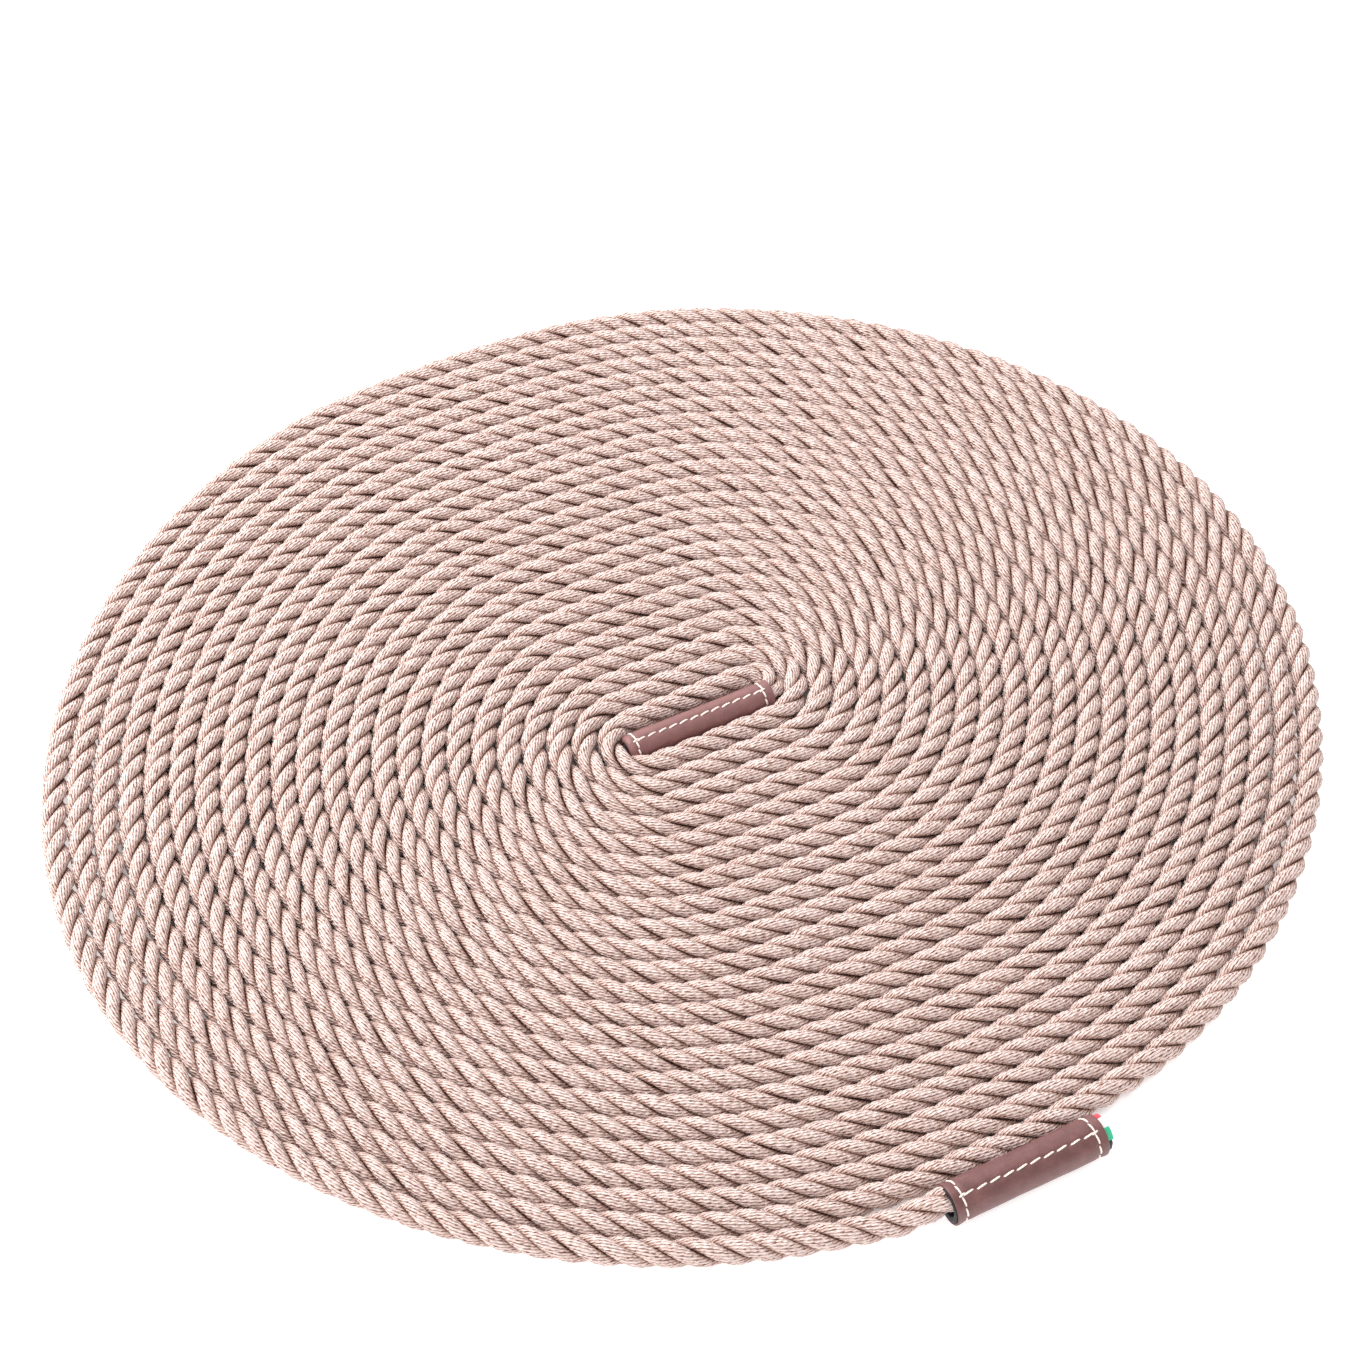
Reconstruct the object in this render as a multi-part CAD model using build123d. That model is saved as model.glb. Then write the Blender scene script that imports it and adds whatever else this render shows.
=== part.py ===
"""Training leash: one long laid rope wound flat into a spiral, with a stitched leather sleeve on each end.

Frame: the coil lies on z = 0, +X runs along both sleeves, and the origin is under the middle of the box.
"""
import math
import os

from build123d import *

# ---- rope and coil, mm
rope_diameter = 7.9
turn_pitch = 7.79          # from one turn to the next across the straight sides
turns = 23
row_slack = 3.39           # how far every turn lies beyond a whole number of pitches
first_row_squeeze = 1.43   # the first turns are drawn in round the sleeve by this, fading outwards
squeeze_turns = 1.6
right_run = 14.65          # from the middle to the centre of the last turn's right-hand bend
left_run = 14.49           # and of its left-hand bend
rim_round = 3.2            # rounding of the coil's outer edge

# ---- leather sleeves
inner_length = 49.6
outer_length = 48.0
inner_radius = 4.5         # the inner sleeve is drawn tighter round the rope than the outer one
outer_radius = 5.9
leather = 0.7
inner_sleeve_y = -0.6      # the inner sleeve lies a little to the front of the coil's centre line
outer_sleeve_x = 0.65      # middle of the outer sleeve along X, from the middle of the inner one
lap_angle = 30             # where the strip's free edge lies, from +Y side round the top: 90 is the top
lap_cut = 0.3
touch_gap = 0.25           # kept clear between the sleeve and the coil
mouth_gap = 0.2

# ---- stitching
thread_radius = 0.35
thread_depth = 0.2         # how far the thread's centre lies below the leather's face
groove_width = 0.8
groove_depth = 0.56
thread_fit = 0.03
inner_seam_angle = 104     # the lengthwise row, seen along +X, from the +Y side round the top
outer_seam_angle = 110
ring_inset = 2.9           # from the sleeve's end to each ring of stitches
ring_stitches = 10
inner_stitches = 12
outer_stitches = 10
stitch_share = 0.78        # part of each step that the thread shows on top

# ---- end caps and ribbon
cap_wall = 0.3             # at its thinnest: the cap fills the room between the rope and the leather
cap_fit = 0.02
inner_mouth_lip = 0.0      # how far the cap stands out of the sleeve's mouth
outer_mouth_lip = 0.2
inner_tip_lip = 0.3        # and out of its closed end
outer_tip_lip = 1.2
ribbon_thickness = 0.3
ribbon_inside = 12.0
ribbon_outside = 2.2
ribbon_start = 25          # degrees, from the +Y side round the top
ribbon_sweep = 125


class End:
    """One sleeved end of the rope: its own sizes, and which way along X its tip points."""

    def __init__(self, name, tip_side, length, radius, seam_angle, stitches, mouth_lip, tip_lip):
        self.name = name
        self.tip_side = tip_side
        self.length = length
        self.half = length / 2
        self.radius = radius
        self.seam_angle = seam_angle
        self.stitches = stitches
        self.mouth_lip = mouth_lip
        self.tip_lip = tip_lip
        self.thread_top = radius - thread_depth + thread_radius
        self.cap_outer = radius - leather - cap_fit
        self.rope_radius = min(rope_radius, self.cap_outer - cap_wall - cap_fit)


def fading(turn):
    """One on the first turn, falling away over the next few."""
    return math.exp((1 - turn) / squeeze_turns)


def row(turn):
    """Distance of a turn's straight side from the coil's centre line."""
    return turn_pitch * turn + row_slack - first_row_squeeze * fading(turn)


# ---- worked out from the above
rope_radius = rope_diameter / 2
inner = End(
    "inner", -1, inner_length, inner_radius, inner_seam_angle, inner_stitches, inner_mouth_lip, inner_tip_lip
)
outer = End(
    "outer", 1, outer_length, outer_radius, outer_seam_angle, outer_stitches, outer_mouth_lip, outer_tip_lip
)
last_row = row(turns) + rope_radius
row_edge = last_row - turn_pitch      # front edge of the last turn but one
outer_axis_y = -(row_edge + touch_gap + outer_radius)
right_edge = right_run + last_row - turn_pitch / 2
left_edge = -left_run - last_row
back_edge = last_row
front_edge = outer_axis_y - outer.thread_top
middle = Vector((right_edge + left_edge) / 2, (back_edge + front_edge) / 2, 0)


def save(name, shape):
    """Move a finished piece from the coil's frame to the part's frame and write it."""
    export_step(Pos(-middle.X, -middle.Y, 0) * shape, f"parts/{name}.step")


def block(x_start, x_end, y_start, y_end):
    """A stretch of straight turns, rounded along its two long sides."""
    width = y_end - y_start
    section = Pos(y_start + width / 2, rope_radius) * RectangleRounded(width, rope_diameter, rim_round)
    return extrude(Plane.YZ.offset(x_start) * section, x_end - x_start)


def half_disc(radius):
    """A stack of half-round bends on the +X side, rounded at the rim."""
    section = Pos(0, rope_radius) * RectangleRounded(2 * radius, rope_diameter, rim_round)
    section &= Pos(radius, rope_radius) * Rectangle(2 * radius, rope_diameter)
    return Rot(0, 0, -90) * revolve(Plane.XZ * section, Axis.Z, 180)


def coil_slab():
    """The coil's outer shape: the last turn's bends and straights, stepped in where the outer sleeve lies."""
    mouth = outer_sleeve_x - outer.half - outer.mouth_lip - mouth_gap
    slab = block(-left_run, right_run, -row_edge, last_row)
    slab += Pos(right_run, turn_pitch / 2) * half_disc(last_row - turn_pitch / 2)
    slab += Pos(-left_run, 0) * Rot(0, 0, 180) * half_disc(last_row)
    # The last turn ends in the outer sleeve, which lies against the turn before it.
    beside_mouth = Pos(mouth, -row_edge) * Box(
        3 * right_run, 2 * turn_pitch, 3 * rope_diameter, align=(Align.MIN, Align.MAX, Align.CENTER)
    )
    return slab - beside_mouth


def sleeve_slot():
    """The opening in the middle of the coil that the inner sleeve lies in."""
    mouth = inner.half + inner.mouth_lip + mouth_gap
    tip = inner.half + inner.tip_lip + mouth_gap
    return Pos((mouth - tip) / 2, 0, rope_radius) * Box(
        mouth + tip, 2 * (row(1) - rope_radius), 2 * rope_diameter
    )


def rope_end(end, x_start, x_end, y):
    """A round bar along X, at the height of a sleeve's axis."""
    bar = Rot(0, 90, 0) * Cylinder(end.rope_radius, abs(x_end - x_start))
    return Pos((x_start + x_end) / 2, y, end.thread_top) * bar


def rope_coil():
    """The whole rope: the coil as one slab, and its two ends inside the sleeves."""
    mouth = outer_sleeve_x - outer.half
    coil = coil_slab() - sleeve_slot()
    coil += rope_end(inner, -inner.half, inner.half + rope_diameter, inner_sleeve_y)
    return coil + rope_end(outer, mouth - rope_diameter, mouth + outer.length, outer_axis_y)


def round_the_axis(degrees):
    """Turn a shape about X. Zero degrees is the +Y side and 90 is the top."""
    return Rot(degrees, 0, 0)


def tube(outside, inside, length):
    """A round tube along X."""
    return Rot(0, 90, 0) * Cylinder(outside, length) - Rot(0, 90, 0) * Cylinder(inside, length)


def leather_sleeve(end):
    """A strip rolled into a tube, cut for its lapped edge and for the three rows of stitches."""
    sleeve = tube(end.radius, end.radius - leather, end.length)
    lap = Pos(0, end.radius, 0) * Box(end.length, 2 * lap_cut, lap_cut)
    sleeve -= round_the_axis(lap_angle) * lap
    for side in (-1, 1):
        ring_groove = tube(end.radius + groove_depth, end.radius - groove_depth, groove_width)
        sleeve -= Pos(side * (end.half - ring_inset), 0, 0) * ring_groove
    groove_length = end.length - 2 * ring_inset - 2 * groove_width
    groove = Pos(0, end.radius, 0) * Box(groove_length, 2 * groove_depth, groove_width)
    return sleeve - round_the_axis(end.seam_angle) * groove


def ring_thread(end):
    """One ring of stitches: a band in the groove, with a raised bar for each stitch."""
    floor = end.radius - groove_depth + thread_fit
    thread = tube(end.radius - groove_depth / 2, floor, groove_width - 2 * thread_fit)
    step = 360 / ring_stitches
    profile = Plane.XY * Pos(0, end.radius - thread_depth) * Circle(thread_radius - thread_fit)
    for index in range(ring_stitches):
        stitch = revolve(profile, Axis.X, step * stitch_share)
        thread += round_the_axis(index * step) * stitch
    return thread


def seam_thread(end):
    """The lengthwise row: a strip in the groove, with a raised bar for each stitch."""
    length = end.length - 2 * ring_inset - 2 * groove_width - 2 * thread_fit
    depth = groove_depth / 2 - thread_fit
    middle_radius = end.radius - groove_depth + thread_fit + depth / 2
    thread = Pos(0, middle_radius, 0) * Box(length, depth, groove_width - 2 * thread_fit)
    step = length / end.stitches
    bar = Rot(0, 90, 0) * Cylinder(thread_radius - thread_fit, step * stitch_share)
    for index in range(end.stitches):
        thread += Pos((index + 0.5) * step - length / 2, end.radius - thread_depth, 0) * bar
    return round_the_axis(end.seam_angle) * thread


def ribbon_shape(end, fit):
    """A woven ribbon curved along the inside of the sleeve, tucked in and standing out of its end."""
    outside = end.cap_outer + fit
    inside = end.radius - leather - ribbon_thickness - fit
    length = ribbon_inside + ribbon_outside + 2 * fit
    start = end.half - ribbon_inside - fit
    profile = Pos(start + length / 2, (outside + inside) / 2) * Rectangle(length, outside - inside)
    return round_the_axis(ribbon_start) * revolve(profile, Axis.X, ribbon_sweep)


def end_cap(end):
    """A shrunk cap over the rope's end, open at the sleeve's mouth and closed at its tip."""
    length = end.length + end.mouth_lip + end.tip_lip
    closed = end.tip_lip - cap_fit
    cap = Rot(0, 90, 0) * Cylinder(end.cap_outer, length)
    cap -= Pos(-end.tip_side * closed, 0, 0) * Rot(0, 90, 0) * Cylinder(end.rope_radius + cap_fit, length)
    return Pos(end.tip_side * (end.tip_lip - end.mouth_lip) / 2, 0, 0) * cap


def write_end(end, place, cap):
    """The pieces of one sleeved end, moved to where it lies."""
    tip_ring = end.tip_side * (end.half - ring_inset)
    save(f"{end.name}_leather_sleeve", place * leather_sleeve(end))
    save(f"{end.name}_seam_thread", place * seam_thread(end))
    save(f"{end.name}_mouth_thread", place * Pos(-tip_ring, 0, 0) * ring_thread(end))
    save(f"{end.name}_tip_thread", place * Pos(tip_ring, 0, 0) * ring_thread(end))
    save(f"{end.name}_end_cap", place * cap)


os.makedirs("parts", exist_ok=True)
inner_place = Pos(0, inner_sleeve_y, inner.thread_top)
outer_place = Pos(outer_sleeve_x, outer_axis_y, outer.thread_top)
save("rope_coil", rope_coil())
write_end(inner, inner_place, end_cap(inner))
write_end(outer, outer_place, end_cap(outer) - ribbon_shape(outer, cap_fit))
save("ribbon_tab", outer_place * ribbon_shape(outer, 0))
print("box", right_edge - left_edge, back_edge - front_edge, "middle", middle)
print("sleeves at", inner_place.position - middle, outer_place.position - middle)
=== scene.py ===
"""Training leash: a laid rope wound into a flat spiral, with two stitched leather sleeves, in a plain studio."""
import math

import bmesh
import bpy
import numpy as np
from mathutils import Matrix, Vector


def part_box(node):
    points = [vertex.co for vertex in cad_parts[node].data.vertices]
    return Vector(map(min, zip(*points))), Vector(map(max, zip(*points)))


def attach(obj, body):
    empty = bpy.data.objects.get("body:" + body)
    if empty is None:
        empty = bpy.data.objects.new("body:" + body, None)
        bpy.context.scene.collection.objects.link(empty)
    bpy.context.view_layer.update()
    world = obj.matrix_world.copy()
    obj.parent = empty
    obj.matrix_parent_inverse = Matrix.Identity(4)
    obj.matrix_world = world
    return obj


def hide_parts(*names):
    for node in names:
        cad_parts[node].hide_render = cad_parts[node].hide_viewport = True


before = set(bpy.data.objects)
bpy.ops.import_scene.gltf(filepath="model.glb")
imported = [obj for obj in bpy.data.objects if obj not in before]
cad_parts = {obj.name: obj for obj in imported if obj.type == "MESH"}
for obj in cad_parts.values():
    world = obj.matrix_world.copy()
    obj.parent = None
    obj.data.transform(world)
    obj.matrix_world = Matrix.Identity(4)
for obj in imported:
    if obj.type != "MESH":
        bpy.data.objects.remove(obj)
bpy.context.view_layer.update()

MM = 0.001

# ---- rope and coil, the same driving sizes as the CAD part; a run is the distance from the coil's middle to
# the centre of a bend: on the first turn, on the last, and what the first has over for the sleeve, which fades
ROPE_DIAMETER = 7.9 * MM
TURN_PITCH = 7.79 * MM
TURNS = 23
ROW_SLACK = 3.39 * MM
FIRST_ROW_SQUEEZE = 1.43 * MM
SQUEEZE_TURNS = 1.6
RIGHT_RUN = (20.4 * MM, 14.65 * MM, 1.7 * MM)
LEFT_RUN = (18.2 * MM, 14.49 * MM, 0.9 * MM)
INNER_SLEEVE_Y = -0.6 * MM
FOLD_BULGE = 1.0 * MM       # how far the rope swings to the front as it folds back out of the inner sleeve
DIAGONAL_DRAW = 2.7 * MM    # how far the last turn's bends are drawn in halfway between the axes
POINTS_PER_TURN = 24

# ---- strands: offset, height and width in rope diameters
STRANDS = 3
LAY = 26.3 * MM
STRAND_OFFSET = 0.276
STRAND_HEIGHT = 0.245
STRAND_WIDTH = 0.262
SLEEVE_SQUEEZE = 0.14       # how much thinner the rope is inside the inner sleeve
ROPE_START = 0.85           # its end inside the inner sleeve, as a share of the way to the tip
STRAND_STEP = 2.0 * MM
STRAND_SIDES = 12
DRIFT = 0.12 * MM           # how far the rope strays sideways from its smooth line
YARNS = 13
YARN_TWIST = 14.0           # mm of rope for one turn of a strand's yarns, which keeps them along the rope

# ---- leather sleeves and their stitches, the same sizes as the CAD part
LEATHER = 0.7 * MM
LAP_ANGLE = 30
RING_INSET = 2.9 * MM
RING_STITCHES = 10
STITCH_SHARE = 0.83
THREAD_HEIGHT = 0.27 * MM
THREAD_WIDTH = 0.28 * MM
THREAD_SIDES = 10
TIP_GATHER = 2.6 * MM       # how long the part of the inner sleeve is that is drawn together at its tip

# ---- ribbon
RIBBON_THICKNESS = 0.3 * MM
RIBBON_OUTSIDE = 1.8 * MM
RIBBON_INSIDE = 12.0 * MM
RIBBON_START = 25
RIBBON_SWEEP = 125


class Sleeve:
    """Where a leather sleeve lies, read from the frame, and how it is stitched."""

    def __init__(self, name, tip_side, seam_angle, stitches, mouth_lip, tip_lip, tip_draw):
        low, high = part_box(f"{name}_leather_sleeve")
        self.name = name
        self.tip_side = tip_side
        self.seam_angle = seam_angle
        self.stitches = stitches
        self.mouth_lip = mouth_lip
        self.tip_lip = tip_lip
        self.tip_draw = tip_draw
        self.middle = (low + high) / 2
        self.radius = (high.z - low.z) / 2
        self.half = (high.x - low.x) / 2
        self.ring = self.half - RING_INSET

    def at(self, share, beside=0.0, above=0.0):
        """A point near the axis, with share -1 at the mouth and 1 at the tip."""
        return self.middle + Vector((self.tip_side * share * self.half, beside, above))

    def drawn_in(self, along):
        """How much smaller the sleeve is at a place along it, where its closed end is drawn together."""
        into_tip = np.clip((along - self.half + TIP_GATHER) / TIP_GATHER, 0, 1)
        return self.tip_draw * (1 - np.sqrt(1 - 0.96 * into_tip ** 2)) / 0.8

    def round(self, along, radius, degrees):
        """Points round the axis: along runs from the middle to the tip, degrees from +Y over the top."""
        angle = np.radians(degrees)
        x = self.middle.x + self.tip_side * along
        y = self.middle.y + radius * np.cos(angle)
        z = self.middle.z + radius * np.sin(angle)
        return np.stack(np.broadcast_arrays(x, y, z), axis=-1)


inner = Sleeve("inner", -1, 104, 12, 0.0, 0.1 * MM, 1.5 * MM)
outer = Sleeve("outer", 1, 110, 10, 0.2 * MM, 1.6 * MM, 0.0)
centre = Vector((inner.middle.x, inner.middle.y - INNER_SLEEVE_Y, 0))
level = (STRAND_OFFSET + STRAND_HEIGHT) * ROPE_DIAMETER    # height of the rope's line over the floor


# ---------------------------------------------------------------- the rope's route
def fading(turn):
    """One on the first turn, falling away over the next few."""
    return math.exp((1 - turn) / SQUEEZE_TURNS)


def run(ends, turn):
    """Distance from the coil's middle to a turn's bend."""
    first, last, over = ends
    return first + (last - first) * (turn - 1) / (TURNS - 1) + over * fading(turn)


def row(turn):
    """Distance of a turn's straight side from the coil's centre line."""
    return TURN_PITCH * turn + ROW_SLACK - FIRST_ROW_SQUEEZE * fading(turn)


def bend(middle, radius, start, stop, count, drawn_in):
    """Control points round a half turn, on the polygon that a smooth line of that radius touches."""
    step = (stop - start) / count
    points = []
    for index in range(count):
        angle = start + (index + 0.5) * step
        reach = radius / math.cos(step / 2) - drawn_in * math.sin(2 * angle) ** 2
        points.append((middle[0] + reach * math.cos(angle), middle[1] + reach * math.sin(angle)))
    return points


def coil_points():
    """The turns, anticlockwise from the inner sleeve's mouth to the outer sleeve's, about the coil's middle."""
    flat = []
    quarter = math.pi / 2
    half_count = POINTS_PER_TURN // 2
    for turn in range(1, TURNS + 1):
        first = INNER_SLEEVE_Y - FOLD_BULGE if turn == 1 else -row(turn - 1)
        drawn_in = DIAGONAL_DRAW * (turn - 1) / (TURNS - 1)
        right_radius = (row(turn) - first) / 2
        right_middle = (run(RIGHT_RUN, turn), (row(turn) + first) / 2)
        left_middle = (-run(LEFT_RUN, turn), 0)
        flat += bend(right_middle, right_radius, -quarter, quarter, half_count, drawn_in)
        flat += bend(left_middle, row(turn), quarter, 3 * quarter, half_count, drawn_in)
    return flat


def route():
    """Every control point of the rope's line: inside the inner sleeve, the coil, inside the outer sleeve."""
    points = [inner.at(ROPE_START), inner.at(0.4), inner.at(-0.4), inner.at(-0.9)]
    coil = [centre + Vector((x, y, level)) for x, y in coil_points()]
    leaves_floor = outer.at(-1).x - 1.6 * ROPE_DIAMETER
    while coil[-1].x > leaves_floor:
        coil.pop()
    lift = inner.middle.z - level
    for point, share in zip(coil, (0.85, 0.6, 0.4, 0.2)):
        point.z += lift * share
    points += coil
    # The rope climbs into the outer sleeve along its upper side, nearest the coil.
    points += [outer.at(-1.4, 1.9 * MM, -0.6 * MM), outer.at(-1.0, 1.0 * MM, 1.3 * MM)]
    points += [outer.at(-0.6, 0.6 * MM, 0.5 * MM), outer.at(0.2), outer.at(0.96)]
    return points


def route_curve():
    """The route as one smooth open spline."""
    data = bpy.data.curves.new("route", "CURVE")
    data.dimensions = "3D"
    spline = data.splines.new("NURBS")
    points = route()
    spline.points.add(len(points) - 1)
    for target, point in zip(spline.points, points):
        target.co = (*point, 1)
    spline.order_u = 3
    spline.use_endpoint_u = True
    return bpy.data.objects.new("route", data)


def line_points(curve, resolution):
    """The points of the smooth line, at a resolution per control point."""
    curve.data.resolution_u = resolution
    curve.data.splines[0].resolution_u = resolution
    mesh = bpy.data.meshes.new_from_object(curve)
    points = np.array([vertex.co[:] for vertex in mesh.vertices])
    bpy.data.meshes.remove(mesh)
    return points


def evenly(points, step):
    """The line's points at even steps, with the distance of each along the line."""
    along = np.concatenate([[0], np.cumsum(np.linalg.norm(np.diff(points, axis=0), axis=1))])
    wanted = np.linspace(0, along[-1], int(along[-1] / step) + 1)
    return np.stack([np.interp(wanted, along, points[:, axis]) for axis in range(3)], axis=1), wanted


# ---------------------------------------------------------------- mesh tools
def unit(vectors):
    return vectors / np.linalg.norm(vectors, axis=-1, keepdims=True)


def wave(along, seed, *lengths):
    """A slow smooth unevenness along a length, between about -1 and 1."""
    total = sum(np.sin(2 * math.pi * along / length + seed * 1.7 + i) for i, length in enumerate(lengths))
    return total / len(lengths)


def bell(distance, width):
    """A smooth hump of height 1 at distance 0."""
    return np.exp(-((distance / width) ** 2))


def quads(count, sides, first, loop):
    """Faces between rings of vertices, the first ring starting at vertex number first."""
    ring = np.arange(count if loop else count - 1)[:, None] * sides
    following = (ring + sides) % (count * sides)
    side = np.arange(sides)[None, :]
    beside = (side + 1) % sides
    faces = np.stack([ring + side, ring + beside, following + beside, following + side], axis=-1)
    return (first + faces.reshape(-1, 4)).tolist()


def quad_uvs(along, around):
    """A corner map for quads: along has one value for each ring, around one for each side and one more."""
    shape = (len(along) - 1, len(around) - 1)
    before, after = along[:-1, None], along[1:, None]
    left, right = around[None, :-1], around[None, 1:]
    corners = [(before, left), (before, right), (after, right), (after, left)]
    corners = [np.stack([np.broadcast_to(part, shape) for part in corner], axis=-1) for corner in corners]
    return np.stack(corners, axis=2).reshape(-1, 2)


def tube_mesh(name, tubes, maps, loop=False, tidy_normals=True):
    """One mesh from several tubes of rings, each shaped (rings, sides, 3), with closed ends unless they loop.

    maps holds each tube's (along, around) for the "lay" corner map.
    """
    vertices, faces, corners = [], [], []
    for rings, (along, around) in zip(tubes, maps):
        count, sides = rings.shape[:2]
        first = len(vertices)
        vertices += rings.reshape(-1, 3).tolist()
        faces += quads(count, sides, first, loop)
        corners.append(quad_uvs(along, around))
        if not loop:
            last = first + (count - 1) * sides
            faces += [list(range(first + sides - 1, first - 1, -1)), list(range(last, last + sides))]
            corners.append(np.repeat([[along[0], 0.5], [along[-1], 0.5]], sides, axis=0))
    mesh = bpy.data.meshes.new(name)
    mesh.from_pydata(vertices, [], faces)
    layer = mesh.uv_layers.new(name="lay")
    layer.data.foreach_set("uv", np.concatenate(corners).reshape(-1).astype(np.float32))
    if tidy_normals:
        work = bmesh.new()
        work.from_mesh(mesh)
        bmesh.ops.recalc_face_normals(work, faces=work.faces)
        work.to_mesh(mesh)
        work.free()
    mesh.shade_smooth()
    return mesh


def oval_tube(line, out, height, width, sides):
    """Rings round a line: height and width are half the section, out is the way its height points."""
    forward = unit(np.gradient(line, axis=0))
    across = unit(np.cross(forward, out))
    out = np.cross(across, forward)
    turn = np.linspace(-math.pi, math.pi, sides, endpoint=False)[None, :, None]
    height = np.broadcast_to(height, len(line))[:, None, None]
    width = np.broadcast_to(width, len(line))[:, None, None]
    return line[:, None] + height * np.cos(turn) * out[:, None] + width * np.sin(turn) * across[:, None]


def sides_map(sides):
    return np.arange(sides + 1) / sides


def place(name, mesh, material, replaces):
    """A finished piece in the scene: its material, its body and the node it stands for."""
    piece = bpy.data.objects.new(name, mesh)
    bpy.context.scene.collection.objects.link(piece)
    mesh.materials.append(material)
    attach(piece, "root")
    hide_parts(replaces)
    return piece


# ---------------------------------------------------------------- rope
def squeeze(along):
    """The rope's thickness as a share of its own, drawn in inside the inner sleeve, where its line starts."""
    past_mouth = (along - (1 + ROPE_START) * inner.half) / (1.4 * MM)
    return 1 - SLEEVE_SQUEEZE / (1 + np.exp(np.clip(past_mouth, -30, 30)))


def strand(centres, along, number):
    """One strand: a helix round the rope's line, wider than it is high, as laid strands press together."""
    forward = unit(np.gradient(centres, axis=0))
    up = unit(np.array([0, 0, 1]) - forward[:, 2:3] * forward)
    side = np.cross(forward, up)
    turn = 2 * math.pi * (along / LAY + number / STRANDS) + 0.12 * wave(along, number, 0.21, 0.083)
    out = np.cos(turn)[:, None] * up + np.sin(turn)[:, None] * side
    thickness = ROPE_DIAMETER * squeeze(along)
    swell = thickness * (1 + 0.03 * wave(along, number + 5, 0.047, 0.031))
    return oval_tube(
        centres + out * (STRAND_OFFSET * thickness)[:, None],
        out,
        STRAND_HEIGHT * swell,
        STRAND_WIDTH * swell,
        STRAND_SIDES,
    )


def make_rope(material):
    """The rope's three strands along the route."""
    curve = route_curve()
    path = line_points(curve, 6)
    centres, along = evenly(line_points(curve, 24), STRAND_STEP)
    forward = unit(np.gradient(centres, axis=0))
    sideways = unit(np.cross(forward, np.array([0, 0, 1.0])))
    free = np.clip(np.minimum(along, along[-1] - along) / 0.12, 0, 1)
    centres = centres + sideways * (DRIFT * free * wave(along, 2, 0.37, 0.151, 0.067))[:, None]
    strands = [strand(centres, along, number) for number in range(STRANDS)]
    maps = [(along / MM, sides_map(STRAND_SIDES))] * STRANDS
    mesh = tube_mesh("rope", strands, maps, tidy_normals=False)
    rope = place("rope", mesh, material, "rope_coil")


# ---------------------------------------------------------------- leather
def sleeve_profile(sleeve):
    """The strip's section along the sleeve: place, radius and how far each point belongs to the outer face."""
    half, radius = sleeve.half, sleeve.radius
    edge = LEATHER / 2
    outer_face = np.arange(-half + edge, half - edge, 0.3 * MM)
    inner_face = np.linspace(half - edge, -half + edge, 24)
    turn = np.linspace(90, -90, 9)[1:-1]
    tip = (half - edge + edge * np.cos(np.radians(turn)), radius - edge + edge * np.sin(np.radians(turn)))
    along = np.concatenate([outer_face, tip[0], inner_face, -tip[0][::-1]])
    radii = np.concatenate([
        np.full(len(outer_face), radius), tip[1], np.full(len(inner_face), radius - LEATHER), tip[1][::-1]
    ])
    return along, radii, (radii - radius + LEATHER) / LEATHER


def leather_sleeve(sleeve, material):
    """A strip rolled into a tube: lapped edge, drawn in at the rings and along the row of stitches."""
    along, radii, outside = sleeve_profile(sleeve)
    sides = 192
    degrees = np.arange(sides) * 360 / sides
    x, a = along[:, None], degrees[None, :]
    round_seam = (a - sleeve.seam_angle + 180) % 360 - 180
    from_row = np.radians(round_seam) * sleeve.radius
    past_lap = np.radians((LAP_ANGLE - a) % 360) * sleeve.radius
    step = 2 * sleeve.ring / sleeve.stitches
    holes = 0.5 - 0.5 * np.cos(2 * math.pi * (x + sleeve.ring) / step + math.pi)
    ring_holes = 0.5 + 0.5 * np.cos(np.radians(round_seam) * RING_STITCHES)
    between = np.clip((sleeve.ring - np.abs(x)) / (0.5 * MM) + 0.5, 0, 1)
    to_ring = np.abs(np.abs(x) - sleeve.ring)
    drop = (0.10 + 0.12 * holes) * MM * bell(from_row, 0.65 * MM) * between
    drop = drop + (0.20 + 0.14 * ring_holes) * MM * bell(to_ring, 0.75 * MM)
    drop = drop - 0.10 * MM * bell(np.abs(x) - sleeve.half, 1.3 * MM)
    drop = drop + 0.42 * MM * np.exp(-past_lap / (3.2 * MM))
    ripple = np.sin(x / (3.1 * MM) + np.sin(np.radians(2 * a)))
    drop = drop + 0.05 * MM * ripple * np.sin(np.radians(3 * a) + x / (5 * MM))
    drop = drop + 0.06 * MM * np.sin(x / (7.3 * MM) + 2.0)
    gathered = sleeve.drawn_in(x)
    rings = sleeve.round(x, radii[:, None] - gathered - drop * (0.35 + 0.65 * outside[:, None]), a)
    along = np.concatenate([along, along[:1]])
    mesh = tube_mesh(f"{sleeve.name}_leather", [rings], [(along / MM, sides_map(sides))], loop=True)
    shade_edges(mesh, sleeve, rings.shape, outside, from_row, to_ring)
    place(f"{sleeve.name}_leather", mesh, material, f"{sleeve.name}_leather_sleeve")


def shade_edges(mesh, sleeve, shape, outside, from_row, to_ring):
    """Two values for each vertex: how much it is a cut edge, and how near it is to the stitches."""
    cut = np.broadcast_to((1 - np.abs(2 * outside - 1))[:, None], shape[:2])
    near = np.maximum(bell(from_row, 1.1 * MM), bell(to_ring, 1.1 * MM))
    near = np.broadcast_to(near, shape[:2])
    for name, values in (("cut_edge", cut), ("near_stitch", near)):
        layer = mesh.attributes.new(name, "FLOAT", "POINT")
        layer.data.foreach_set("value", np.ascontiguousarray(values, dtype=np.float32).reshape(-1))


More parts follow.
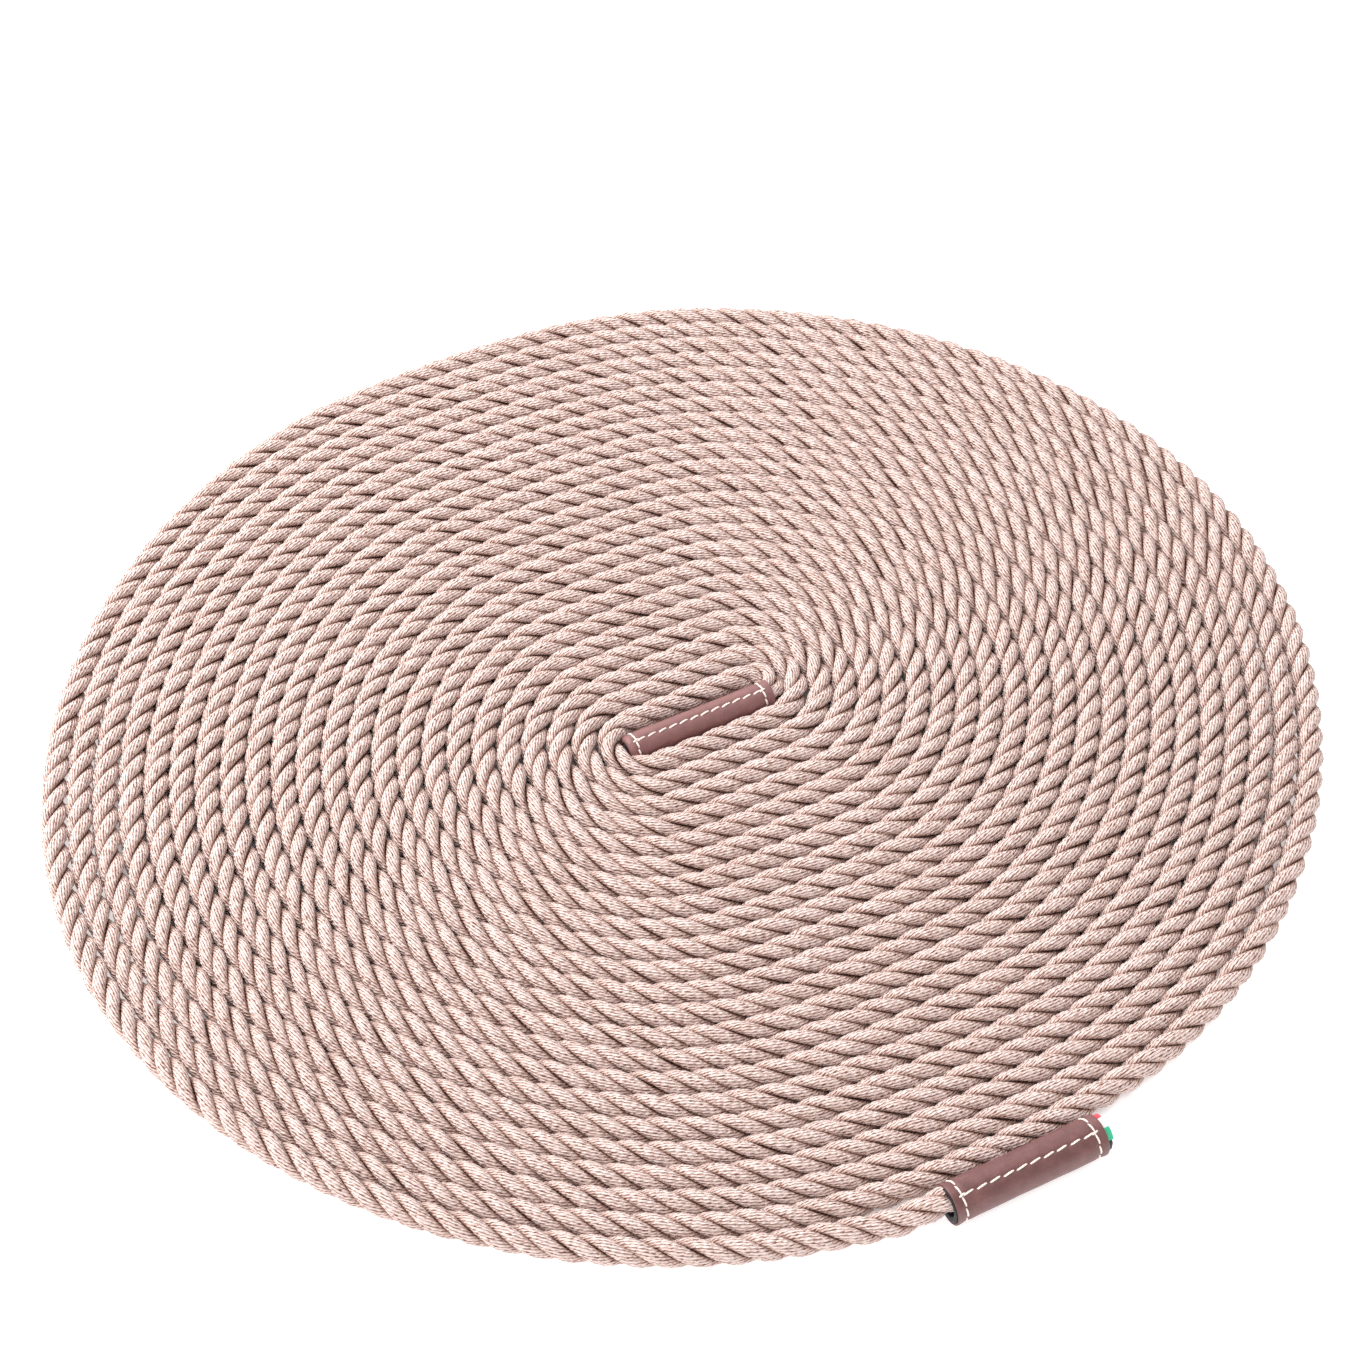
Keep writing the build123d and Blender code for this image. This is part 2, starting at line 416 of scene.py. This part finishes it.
# ---------------------------------------------------------------- stitches
def stitch(sleeve, along, degrees, sunk):
    """One stitch between two holes: it rises out of the leather, lies along it and dips back in."""
    share = np.linspace(0, 1, 11)
    along = along[0] + (along[1] - along[0]) * share
    degrees = degrees[0] + (degrees[1] - degrees[0]) * share
    arch = np.sin(math.pi * share) ** 0.55
    radius = sleeve.radius - sunk - 0.42 * MM + 0.50 * MM * arch
    line = sleeve.round(along, radius, degrees)
    out = sleeve.round(0 * along, 1.0, degrees) - sleeve.round(0 * along, 0.0, degrees)
    plump = 0.8 + 0.2 * arch
    return oval_tube(line, out, THREAD_HEIGHT * plump, THREAD_WIDTH * plump, THREAD_SIDES)


def thread_piece(sleeve, name, stitches, material):
    """A row of stitches as one piece."""
    around = sides_map(THREAD_SIDES)
    maps = [(np.linspace(0, 3, len(rings)) + number * 3.7, around) for number, rings in enumerate(stitches)]
    mesh = tube_mesh(f"{sleeve.name}_{name}", stitches, maps)
    place(f"{sleeve.name}_{name}", mesh, material, f"{sleeve.name}_{name}_thread")


def row_stitches(sleeve):
    """The lengthwise row, and the short stitch that crosses each ring."""
    step = 2 * sleeve.ring / sleeve.stitches
    slant = math.degrees(0.26 * MM / sleeve.radius) * sleeve.tip_side
    stitches = []
    for number in range(sleeve.stitches):
        middle = -sleeve.ring + (number + 0.5) * step
        reach = step * STITCH_SHARE / 2
        lean = sleeve.seam_angle + 0.6 * math.sin(number * 2.4)
        stitches.append(
            stitch(sleeve, (middle - reach, middle + reach), (lean + slant, lean - slant), 0.10 * MM)
        )
    for end in (-1, 1):
        crossing = end * sleeve.ring
        reach = 1.0 * MM
        lean = sleeve.seam_angle
        stitches.append(
            stitch(sleeve, (crossing - reach, crossing + reach), (lean + slant, lean - slant), 0.0)
        )
    return stitches


def ring_stitches(sleeve, end):
    """One ring of stitches, with a hole where it meets the row."""
    step = 360 / RING_STITCHES
    stitches = []
    for number in range(RING_STITCHES):
        middle = sleeve.seam_angle + (number + 0.5) * step
        reach = step * (STITCH_SHARE + 0.06) / 2
        slant = 0.16 * MM * sleeve.tip_side
        at = end * sleeve.ring + 0.05 * MM * math.sin(number * 1.9)
        stitches.append(stitch(sleeve, (at - slant, at + slant), (middle - reach, middle + reach), 0.16 * MM))
    return stitches


# ---------------------------------------------------------------- caps and ribbon
def end_cap(sleeve, material):
    """A shrunk cap between the rope and the leather: open round the rope, closed and rounded at the tip."""
    half = sleeve.half
    wide = sleeve.radius - LEATHER - 0.03 * MM
    narrow = min(0.86 * ROPE_DIAMETER / 2, wide - 0.4 * MM)
    tip = half + sleeve.tip_lip
    corner = 0.7 * MM
    turn = np.radians(np.linspace(0, 90, 7))
    mouth = -half - sleeve.mouth_lip
    lip = 0.3 * MM
    profile = [(mouth + 6 * MM, narrow), (mouth + lip, narrow)]
    rise = wide - lip
    profile += [(mouth + lip - lip * math.sin(t), rise - (rise - narrow) * math.cos(t)) for t in turn[1:]]
    profile += [(mouth + lip - lip * math.cos(t), rise + lip * math.sin(t)) for t in turn[1:]]
    profile += [(share * half, wide) for share in (-0.8, -0.4, 0, 0.4, 0.8)]
    profile += [(tip - corner + corner * math.sin(t), wide - corner + corner * math.cos(t)) for t in turn]
    profile += [(tip + 0.05 * MM, (wide - corner) * share) for share in (0.8, 0.55, 0.3)]
    profile += [(tip - 0.25 * MM, (wide - corner) * 0.08)]
    along, radii = np.array(profile).T
    sides = 96
    degrees = np.arange(sides) * 360 / sides
    x, a = along[:, None], degrees[None, :]
    end_face = np.clip((x - half + 0.3 * MM) / (0.6 * MM), 0, 1)
    crease = 0.07 * MM * end_face * np.cos(np.radians(9 * a) + 3 * np.sin(np.radians(2 * a)))
    radii = np.broadcast_to(radii[:, None], (len(along), sides)).copy()
    if sleeve is outer:
        from_ribbon = np.abs((a - RIBBON_START - RIBBON_SWEEP / 2 + 180) % 360 - 180)
        under_ribbon = from_ribbon < RIBBON_SWEEP / 2 + 3
        room = sleeve.radius - LEATHER - RIBBON_THICKNESS - 0.1 * MM
        radii = np.where(under_ribbon & (x > half - RIBBON_INSIDE), np.minimum(radii, room), radii)
    rings = sleeve.round(x + crease, radii - np.minimum(sleeve.drawn_in(x), 0.8 * radii), a)
    mesh = tube_mesh(f"{sleeve.name}_cap", [rings], [(along / MM, sides_map(sides))])
    place(f"{sleeve.name}_cap", mesh, material, f"{sleeve.name}_end_cap")


def ribbon_tab(sleeve, material):
    """A woven ribbon folded double, curved along the inside of the leather and standing out of the tip."""
    stations = 60
    share = np.linspace(0, 1, stations)
    degrees = (RIBBON_START + RIBBON_SWEEP * share)[:, None]
    edge = RIBBON_THICKNESS / 2
    fold = np.radians(np.linspace(90, -90, 9))
    start = sleeve.half - RIBBON_INSIDE
    stop = sleeve.half + RIBBON_OUTSIDE - edge
    straight = np.linspace(start, stop, 24)
    along = np.concatenate([straight, stop + edge * np.cos(fold[1:-1]), straight[::-1]])
    offset = np.concatenate([np.full(24, edge), edge * np.sin(fold[1:-1]), np.full(24, -edge)])
    free = np.clip((along - sleeve.half) / RIBBON_OUTSIDE, 0, 1)
    lean = 0.12 * MM * free * (1 + np.sin(7 * share))[:, None]
    uneven = 0.10 * MM * free * np.sin(9 * share + 1)[:, None]
    radius = sleeve.radius - LEATHER - 0.04 * MM - edge + offset + lean
    rings = sleeve.round(along + uneven, radius, degrees)
    width = np.radians(RIBBON_SWEEP) * (sleeve.radius - LEATHER)
    mesh = tube_mesh("ribbon", [rings], [(share * width / MM, sides_map(len(along)))])
    place("ribbon", mesh, material, "ribbon_tab")


# ---------------------------------------------------------------- materials
class Nodes:
    """A short way to wire a material's nodes."""

    def __init__(self, name):
        self.material = bpy.data.materials.new(name)
        self.material.use_nodes = True
        self.tree = self.material.node_tree
        self.shader = self.tree.nodes["Principled BSDF"]

    def add(self, kind, inputs=(), **settings):
        node = self.tree.nodes.new(kind)
        for key, value in settings.items():
            setattr(node, key, value)
        for key, value in dict(inputs).items():
            self.set(node.inputs[key], value)
        return node

    def set(self, socket, value):
        if isinstance(value, bpy.types.NodeSocket):
            self.tree.links.new(value, socket)
        else:
            socket.default_value = value

    def finish(self, **values):
        """Set the shader's inputs, named with _ for each space."""
        for key, value in values.items():
            self.set(self.shader.inputs[key.replace("_", " ")], value)
        return self.material

    def math(self, operation, first, second=0.0, third=0.0):
        return self.add("ShaderNodeMath", {0: first, 1: second, 2: third}, operation=operation).outputs[0]

    def ramp(self, value, *stops):
        node = self.add("ShaderNodeValToRGB", {"Fac": value})
        elements = node.color_ramp.elements
        while len(elements) < len(stops):
            elements.new(0.5)
        for element, (position, colour) in zip(elements, stops):
            element.position = position
            element.color = (*colour, 1)
        return node.outputs["Color"]

    def mix(self, share, first, second, blend_type="MIX"):
        node = self.add("ShaderNodeMix", {"Factor": share}, data_type="RGBA", blend_type=blend_type)
        self.set(node.inputs[6], first)
        self.set(node.inputs[7], second)
        return node.outputs[2]

    def noise(self, vector, scale, detail=3.0, roughness=0.55):
        inputs = {"Vector": vector, "Scale": scale, "Detail": detail, "Roughness": roughness}
        return self.add("ShaderNodeTexNoise", inputs).outputs["Fac"]

    def cells(self, vector, scale):
        return self.add("ShaderNodeTexVoronoi", {"Vector": vector, "Scale": scale}).outputs["Distance"]

    def place(self):
        return self.add("ShaderNodeTexCoord").outputs["Object"]

    def lay(self):
        """The piece's own map: mm along it, and its share round it."""
        uv = self.add("ShaderNodeUVMap", uv_map="lay").outputs["UV"]
        parts = self.add("ShaderNodeSeparateXYZ", {"Vector": uv})
        return parts.outputs["X"], parts.outputs["Y"]

    def attribute(self, name):
        return self.add("ShaderNodeAttribute", attribute_name=name).outputs["Fac"]

    def bump(self, height, distance, strength=1.0):
        inputs = {"Height": height, "Distance": distance, "Strength": strength}
        return self.add("ShaderNodeBump", inputs).outputs["Normal"]


def rgb(red, green, blue):
    """A colour on the 0 to 255 screen scale, as the linear colour that shaders take."""
    def linear(value):
        value /= 255
        return value / 12.92 if value <= 0.04045 else ((value + 0.055) / 1.055) ** 2.4
    return (linear(red), linear(green), linear(blue))


def full(colour):
    return (*colour, 1)


def rope_material():
    """Plied yarns that run along the rope over each strand, with pale and dark flecks and a fine fuzz; painted
    shade in the grooves.
    """
    n = Nodes("rope")
    along, around = n.lay()
    phase = n.math("MULTIPLY", n.math("ADD", around, n.math("DIVIDE", along, YARN_TWIST)), YARNS)
    within = n.math("FRACT", phase)
    centred = n.math("MULTIPLY_ADD", within, 2.0, -1.0)
    crest = n.math("SUBTRACT", 1.0, n.math("MULTIPLY", centred, centred))
    yarn = n.math("MODULO", n.math("ADD", n.math("FLOOR", phase), 0.5), YARNS)
    yarn_shade = n.add("ShaderNodeTexWhiteNoise", {"W": yarn}, noise_dimensions="1D").outputs["Value"]
    ply = n.math("ADD", n.math("DIVIDE", along, 1.7), n.math("MULTIPLY", within, 0.75))
    ply = n.math("ADD", ply, n.math("MULTIPLY", yarn_shade, 7.0))
    ply = n.math("MULTIPLY_ADD", n.math("SINE", n.math("MULTIPLY", ply, 2 * math.pi)), 0.5, 0.5)
    fleck_at = n.add("ShaderNodeCombineXYZ", {"X": n.math("DIVIDE", along, 1.6), "Y": phase}).outputs[0]
    fleck = n.noise(fleck_at, 1.1, 2.0, 0.6)
    hair_at = {"X": n.math("DIVIDE", along, 2.5), "Y": n.math("MULTIPLY", phase, 2.2)}
    hair = n.noise(n.add("ShaderNodeCombineXYZ", hair_at).outputs[0], 1.0, 2.0, 0.7)
    relief = n.math("MULTIPLY", crest, n.math("MULTIPLY_ADD", ply, 0.55, 0.45))
    fuzz = n.noise(n.place(), 950.0, 2.0, 0.6)
    height = n.math("MULTIPLY_ADD", hair, 0.25, n.math("MULTIPLY_ADD", fleck, 0.35, relief))
    height = n.math("MULTIPLY_ADD", fuzz, 0.5, height)
    shade = n.math("MULTIPLY_ADD", fleck, 1.6, n.math("MULTIPLY", relief, 1.0))
    shade = n.math("MULTIPLY_ADD", fuzz, 1.2, shade)
    shade = n.math("MULTIPLY_ADD", yarn_shade, 0.15, n.math("MULTIPLY_ADD", hair, 0.5, shade))
    colour = n.ramp(
        n.math("SUBTRACT", shade, 1.65),
        (0.0, rgb(109, 71, 60)), (0.26, rgb(182, 147, 137)),
        (0.52, rgb(221, 196, 188)), (0.9, rgb(238, 219, 213)),
    )
    # Painted shade: the faces turned to the rope's middle, down in the grooves between the strands, are darkened
    # and browned where shade falls.
    inward = n.math("ABSOLUTE", n.math("SUBTRACT", around, 0.5))
    painted_groove_shade = n.ramp(inward, (0.16, (1.0, 1.0, 1.0)), (0.25, (0.76, 0.65, 0.60)), (0.33, (0.12, 0.06, 0.05)))
    colour = n.mix(1.0, colour, painted_groove_shade, "MULTIPLY")
    cloud = n.noise(n.place(), 45.0, 2.0)
    tint = n.ramp(cloud, (0.3, (0.96, 0.94, 0.93)), (0.7, (1.0, 1.0, 1.0)))
    return n.finish(
        Base_Color=n.mix(1.0, colour, tint, "MULTIPLY"), Roughness=0.75, Specular_IOR_Level=0.2,
        Normal=n.bump(height, 0.45 * MM),
    )


def leather_material(name, paler):
    """Smooth reddish brown leather: fine pebbled grain, cloudy dye, darker cut edges and stitched dents.

    paler is the share of a lighter, rosier colour mixed in; the inner sleeve gets some.
    """
    n = Nodes(name)
    at = n.place()
    cut, near = n.attribute("cut_edge"), n.attribute("near_stitch")
    cloud = n.noise(at, 260.0, 4.0, 0.6)
    speck = n.noise(at, 2600.0, 2.0, 0.5)
    grain = n.cells(at, 1900.0)
    dye = n.ramp(cloud, (0.28, rgb(86, 50, 49)), (0.5, rgb(99, 60, 59)), (0.75, rgb(115, 73, 71)))
    dye = n.mix(n.math("MULTIPLY", speck, 0.14), dye, full(rgb(160, 114, 108)))
    dye = n.mix(paler, dye, full(rgb(186, 134, 130)))
    dye = n.mix(n.math("MULTIPLY", near, 0.20), dye, full(rgb(76, 40, 38)))
    dye = n.mix(n.math("MULTIPLY", cut, 0.70), dye, full(rgb(70, 38, 34)))
    height = n.math("MULTIPLY_ADD", speck, 0.5, n.math("MULTIPLY", grain, 1.0))
    height = n.math("MULTIPLY_ADD", cloud, 1.4, height)
    rough = n.math("MULTIPLY_ADD", speck, 0.16, n.math("MULTIPLY_ADD", cloud, 0.14, 0.26))
    return n.finish(
        Base_Color=dye, Roughness=rough, Specular_IOR_Level=0.5, Normal=n.bump(height, 0.07 * MM),
    )


def thread_material():
    """Waxed cream thread of two twisted plies."""
    n = Nodes("thread")
    along, around = n.lay()
    twist = n.math("ADD", n.math("MULTIPLY", around, 2.0), n.math("DIVIDE", along, 0.8))
    ply = n.math("ABSOLUTE", n.math("SINE", n.math("MULTIPLY", twist, math.pi)))
    fuzz = n.noise(n.place(), 5200.0, 2.0)
    colour = n.ramp(
        n.math("MULTIPLY_ADD", fuzz, 0.4, n.math("MULTIPLY", ply, 0.7)),
        (0.15, rgb(206, 170, 152)), (0.5, rgb(246, 226, 214)), (0.9, rgb(255, 243, 235)),
    )
    return n.finish(
        Base_Color=colour, Roughness=0.55, Specular_IOR_Level=0.35, Normal=n.bump(ply, 0.08 * MM),
    )


def cap_material():
    """Black shrunk plastic with a dull, slightly scuffed skin."""
    n = Nodes("cap")
    at = n.place()
    mottle = n.noise(at, 900.0, 4.0, 0.65)
    scuff = n.noise(at, 3000.0, 2.0, 0.7)
    colour = n.ramp(mottle, (0.3, (0.006, 0.006, 0.008)), (0.75, (0.022, 0.023, 0.028)))
    rough = n.math("MULTIPLY_ADD", scuff, 0.35, 0.28)
    return n.finish(
        Base_Color=colour, Roughness=rough, Specular_IOR_Level=0.25, Normal=n.bump(mottle, 0.10 * MM),
    )


def ribbon_material():
    """Ribbed weave in three plain bands across the ribbon's width."""
    n = Nodes("ribbon")
    across, around = n.lay()
    width = math.radians(RIBBON_SWEEP) * (outer.radius - LEATHER) / MM
    band = n.math("DIVIDE", across, width)
    node = n.add("ShaderNodeValToRGB", {"Fac": band})
    node.color_ramp.interpolation = "CONSTANT"
    node.color_ramp.elements.new(0.5)
    bands = ((0.0, rgb(232, 58, 78)), (0.36, rgb(240, 240, 240)), (0.66, rgb(52, 190, 142)))
    for element, (position, colour) in zip(node.color_ramp.elements, bands):
        element.position = position
        element.color = full(colour)
    rib = n.math("ABSOLUTE", n.math("SINE", n.math("MULTIPLY", across, math.pi / 0.28)))
    weft = n.math("ABSOLUTE", n.math("SINE", n.math("MULTIPLY", around, 240.0)))
    weave = n.math("MULTIPLY", rib, n.math("MULTIPLY_ADD", weft, 0.5, 0.5))
    shade = n.ramp(weave, (0.0, (0.72, 0.72, 0.72)), (0.6, (1.0, 1.0, 1.0)))
    return n.finish(
        Base_Color=n.mix(1.0, node.outputs["Color"], shade, "MULTIPLY"), Roughness=0.6,
        Sheen_Weight=0.2, Normal=n.bump(weave, 0.06 * MM),
    )


# ---------------------------------------------------------------- studio
def make_floor():
    """A white table with painted light: it glows a little beside the coil, though it is no lamp, so that almost
    no shadow shows on it.
    """
    reach = 6.0
    corners = [(-reach, -reach, 0), (reach, -reach, 0), (reach, reach, 0), (-reach, reach, 0)]
    mesh = bpy.data.meshes.new("floor")
    mesh.from_pydata(corners, [], [(0, 1, 2, 3)])
    n = Nodes("floor")
    speck = n.noise(n.place(), 3.0)
    paint = n.ramp(speck, (0.3, (0.93, 0.93, 0.93)), (0.7, (0.94, 0.94, 0.94)))
    # Painted light: the floor glows outside the coil's outline to wash out the shadow there, and not under the
    # coil.
    from_middle = n.add("ShaderNodeVectorMath", {0: n.place()}, operation="LENGTH").outputs["Value"]
    beside_coil = {"Value": from_middle, "From Min": 170 * MM, "From Max": 182 * MM, "To Max": 0.5}
    glow = n.add("ShaderNodeMapRange", beside_coil).outputs["Result"]
    mesh.materials.append(
        n.finish(
            Base_Color=paint, Roughness=0.95, Specular_IOR_Level=0.1,
            Emission_Color=(1, 1, 1, 1), Emission_Strength=glow,
        )
    )
    floor = bpy.data.objects.new("floor", mesh)
    bpy.context.scene.collection.objects.link(floor)


def area_light(name, at, size, power):
    """A round soft light aimed at the coil's middle."""
    data = bpy.data.lights.new(name, "AREA")
    data.shape = "DISK"
    data.size = size
    data.energy = power
    lamp = bpy.data.objects.new(name, data)
    lamp.location = at
    lamp.rotation_euler = (-Vector(at)).to_track_quat("-Z", "Y").to_euler()
    bpy.context.scene.collection.objects.link(lamp)


def make_light():
    """A white surround that is brightest behind and to the left, and a key light from there."""
    key = Vector((-0.42, 0.42, 0.45))
    world = bpy.data.worlds.new("studio")
    world.use_nodes = True
    nodes, links = world.node_tree.nodes, world.node_tree.links
    towards_key = nodes.new("ShaderNodeVectorMath")
    towards_key.operation = "DOT_PRODUCT"
    towards_key.inputs[1].default_value = key.normalized()
    glow = nodes.new("ShaderNodeMapRange")
    glow.interpolation_type = "SMOOTHSTEP"
    glow.inputs["From Min"].default_value = -0.1
    glow.inputs["To Min"].default_value = 0.84
    glow.inputs["To Max"].default_value = 2.15
    links.new(nodes.new("ShaderNodeTexCoord").outputs["Generated"], towards_key.inputs[0])
    links.new(towards_key.outputs["Value"], glow.inputs["Value"])
    links.new(glow.outputs["Result"], nodes["Background"].inputs["Strength"])
    nodes["Background"].inputs["Color"].default_value = (1, 1, 1, 1)
    bpy.context.scene.world = world
    area_light("key", key, 0.25, 3.6)
    bpy.context.scene.view_settings.view_transform = "Standard"


def make_camera():
    """The viewpoint, from the coil's measured foreshortening."""
    elevation = math.radians(47.67)
    azimuth = math.radians(-28.0)
    distance = 943 * MM
    aim = centre + Vector((3.6 * MM, 17.9 * MM, ROPE_DIAMETER / 2))
    back = Vector((
        math.sin(azimuth) * math.cos(elevation), -math.cos(azimuth) * math.cos(elevation), math.sin(elevation)
    ))
    data = bpy.data.cameras.new("camera")
    data.lens = 80.5
    data.sensor_width = 36
    camera = bpy.data.objects.new("camera", data)
    camera.location = aim + back * distance
    camera.rotation_euler = (math.pi / 2 - elevation, 0, azimuth)
    bpy.context.scene.collection.objects.link(camera)
    bpy.context.scene.camera = camera


make_camera()
make_light()
make_floor()
make_rope(rope_material())
thread, cap = thread_material(), cap_material()
for sleeve, paler in ((inner, 0.19), (outer, 0.0)):
    leather_sleeve(sleeve, leather_material(f"{sleeve.name}_leather", paler))
    thread_piece(sleeve, "seam", row_stitches(sleeve), thread)
    thread_piece(sleeve, "mouth", ring_stitches(sleeve, -1), thread)
    thread_piece(sleeve, "tip", ring_stitches(sleeve, 1), thread)
    end_cap(sleeve, cap)
ribbon_tab(outer, ribbon_material())

bpy.context.view_layer.update()
